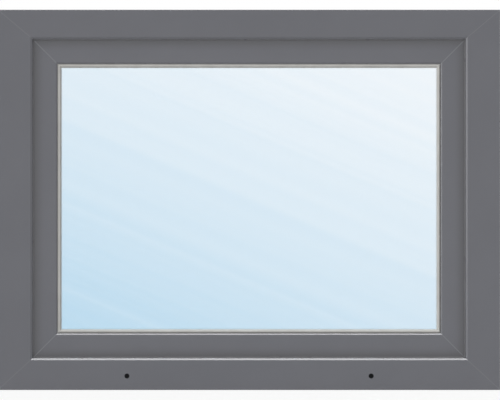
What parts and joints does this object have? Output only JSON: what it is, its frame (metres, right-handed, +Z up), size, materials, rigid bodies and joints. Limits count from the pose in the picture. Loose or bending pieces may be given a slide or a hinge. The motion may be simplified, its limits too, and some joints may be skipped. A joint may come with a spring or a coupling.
{
  "type": "casement window",
  "caption": "Grey PVC casement window: mitred hollow frame and stepped sash holding double glazing, drained sill, handle and corner hinges on the room side.",
  "frame": {"origin": "on the flat underside of the sill, at the middle of its width and of the frame's depth", "axes": "+X to the right as seen from outside, +Y from the outside face into the room, +Z up"},
  "size_m": [1.004, 0.1385, 0.76],
  "materials": {
    "frame_pvc": "satin mid-grey foil on PVC with a fine even grain",
    "sash_pvc": "satin mid-grey foil on PVC with a fine even grain",
    "frame_seal": "matt grey sealing rubber",
    "glazing_seal": "light warm-grey glazing rubber, slightly satin",
    "outer_glass": "clear polished float glass with a pale blue cast",
    "inner_glass": "clear polished float glass",
    "spacer_aluminium": "mill aluminium",
    "edge_sealant": "black edge sealant",
    "block_plastic": "moulded green plastic",
    "handle_metal": "satin grey powder coat",
    "hinge_metal": "satin grey powder coat"
  },
  "bodies": {
    "root": {"frame_left_jamb": "frame_pvc", "frame_right_jamb": "frame_pvc", "frame_head": "frame_pvc", "frame_sill": "frame_pvc", "sash_left_stile": "sash_pvc", "sash_right_stile": "sash_pvc", "sash_top_rail": "sash_pvc", "sash_bottom_rail": "sash_pvc", "glazing_bead_left": "sash_pvc", "glazing_bead_right": "sash_pvc", "glazing_bead_top": "sash_pvc", "glazing_bead_bottom": "sash_pvc", "frame_seal_left": "frame_seal", "sash_seal_left": "frame_seal", "frame_seal_right": "frame_seal", "sash_seal_right": "frame_seal", "frame_seal_top": "frame_seal", "sash_seal_top": "frame_seal", "frame_seal_bottom": "frame_seal", "sash_seal_bottom": "frame_seal", "glazing_seal_left": "glazing_seal", "bead_seal_left": "glazing_seal", "glazing_seal_right": "glazing_seal", "bead_seal_right": "glazing_seal", "glazing_seal_top": "glazing_seal", "bead_seal_top": "glazing_seal", "glazing_seal_bottom": "glazing_seal", "bead_seal_bottom": "glazing_seal", "outer_pane": "outer_glass", "inner_pane": "inner_glass", "glass_spacer": "spacer_aluminium", "edge_seal": "edge_sealant", "glazing_blocks": "block_plastic", "handle_rosette": "handle_metal", "handle_grip": "handle_metal", "lower_hinge_bearing": "hinge_metal", "lower_hinge_arm": "hinge_metal", "upper_hinge_bearing": "hinge_metal", "upper_hinge_arm": "hinge_metal"}
  },
  "joints": []
}
